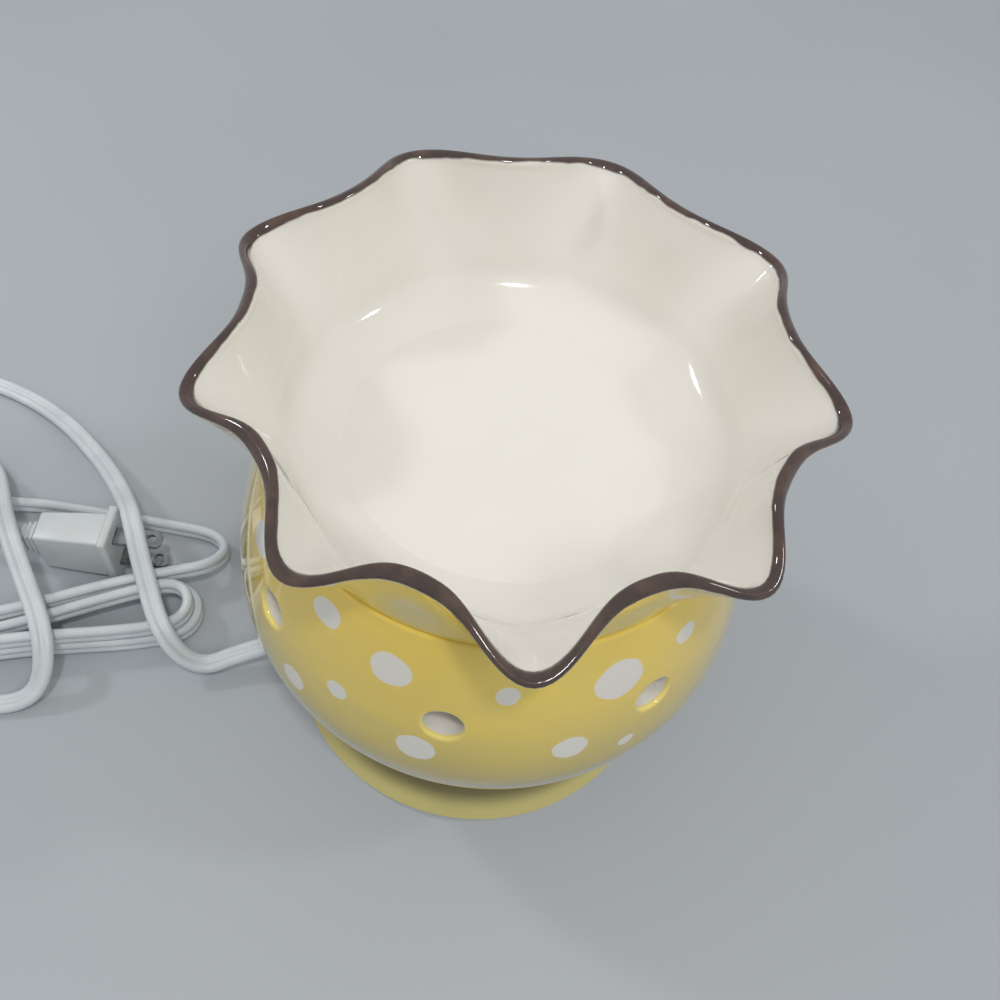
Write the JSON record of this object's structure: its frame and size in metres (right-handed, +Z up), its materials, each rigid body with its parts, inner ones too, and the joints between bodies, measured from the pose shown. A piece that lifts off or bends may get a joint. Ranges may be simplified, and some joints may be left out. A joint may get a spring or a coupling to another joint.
{
  "type": "electric wax warmer",
  "caption": "Round glazed pot with vent holes over a small screw-in bulb, a ruffled wax dish that lifts off, and a flat lead with a rocker switch, a tied hank and a plug.",
  "frame": {"origin": "middle of the foot's underside, at table height, on the axis of the pot", "axes": "+Z up along the pot's axis, -Y towards the viewer, and the lead leaves the foot on the -X side"},
  "size_m": [0.3457, 0.1597, 0.153],
  "materials": {
    "yellow_glaze": "glossy yellow glaze with cream dots, thin and pale over edges",
    "cream_glaze": "glossy cream glaze inside, brown rim, yellow outside",
    "fibre_board": "dark pressed fibre board",
    "felt": "short grey felt",
    "plated_steel": "bright nickel-plated steel",
    "black_rubber": "matte black rubber",
    "porcelain": "white porcelain with a thin glaze",
    "brass": "drawn brass, slightly tarnished",
    "solder": "dull grey solder",
    "dark_glass": "opaque black glass",
    "clear_glass": "clear thin glass",
    "tungsten": "fine dark coiled wire",
    "white_vinyl": "soft white vinyl, semi-gloss",
    "white_plastic": "moulded white plastic, semi-gloss",
    "tie_skin": "white plastic over a soft wire"
  },
  "bodies": {
    "base": {"pot": "yellow_glaze", "base_cover": "fibre_board", "foot_pad_1": "felt", "foot_pad_2": "felt", "foot_pad_3": "felt", "foot_pad_4": "felt", "shelf_washer": "plated_steel", "lock_nut": "plated_steel", "threaded_tube": "plated_steel", "socket_gasket": "black_rubber", "socket_cap": "porcelain", "socket_barrel": "porcelain", "centre_contact": "brass", "screw_shell": "brass", "wire_live": "white_vinyl", "wire_neutral": "white_vinyl", "cord_inner": "white_vinyl", "cord_bushing": "white_plastic", "cord_to_switch": "white_vinyl", "cord_to_hank": "white_vinyl", "cord_hank": "white_vinyl", "cord_to_plug": "white_vinyl", "twist_tie": "tie_skin", "plug_body": "white_plastic", "plug_blade_1": "plated_steel", "plug_blade_2": "plated_steel", "switch_base": "white_plastic", "switch_cover": "white_plastic", "switch_pin": "plated_steel", "switch_contact_1": "brass", "switch_contact_2": "brass", "switch_screw_1": "plated_steel", "switch_screw_2": "plated_steel"},
    "dish": {"dish": "cream_glaze"},
    "bulb_carrier": {"bulb_tip": "solder"},
    "bulb": {"bulb_insulator": "dark_glass", "bulb_cap": "brass", "bulb_glass": "clear_glass", "bulb_stem": "clear_glass", "bulb_filament": "tungsten"},
    "rocker": {"switch_rocker": "white_plastic"}
  },
  "joints": [
    {"name": "dish_lift", "type": "slide", "parent": "base", "child": "dish", "axis": [0, 0, 1], "range_m": [0, 0.06]},
    {"name": "bulb_rise", "type": "slide", "parent": "base", "child": "bulb_carrier", "axis": [0, 0, 1], "range_m": [0, 0.0127]},
    {"name": "bulb_turn", "type": "hinge", "parent": "bulb_carrier", "child": "bulb", "pos_m": [0, 0, 0.06], "axis": [0, 0, 1], "range_deg": [0, 1800]},
    {"name": "rocker_tilt", "type": "hinge", "parent": "base", "child": "rocker", "pos_m": [-0.222, 0.038, 0.0142], "axis": [0, -1, 0], "range_deg": [0, 20]}
  ],
  "couplings": [
    {"joint": "bulb_rise", "follows": "bulb_turn", "m_per_rad": 0.00040425}
  ]
}
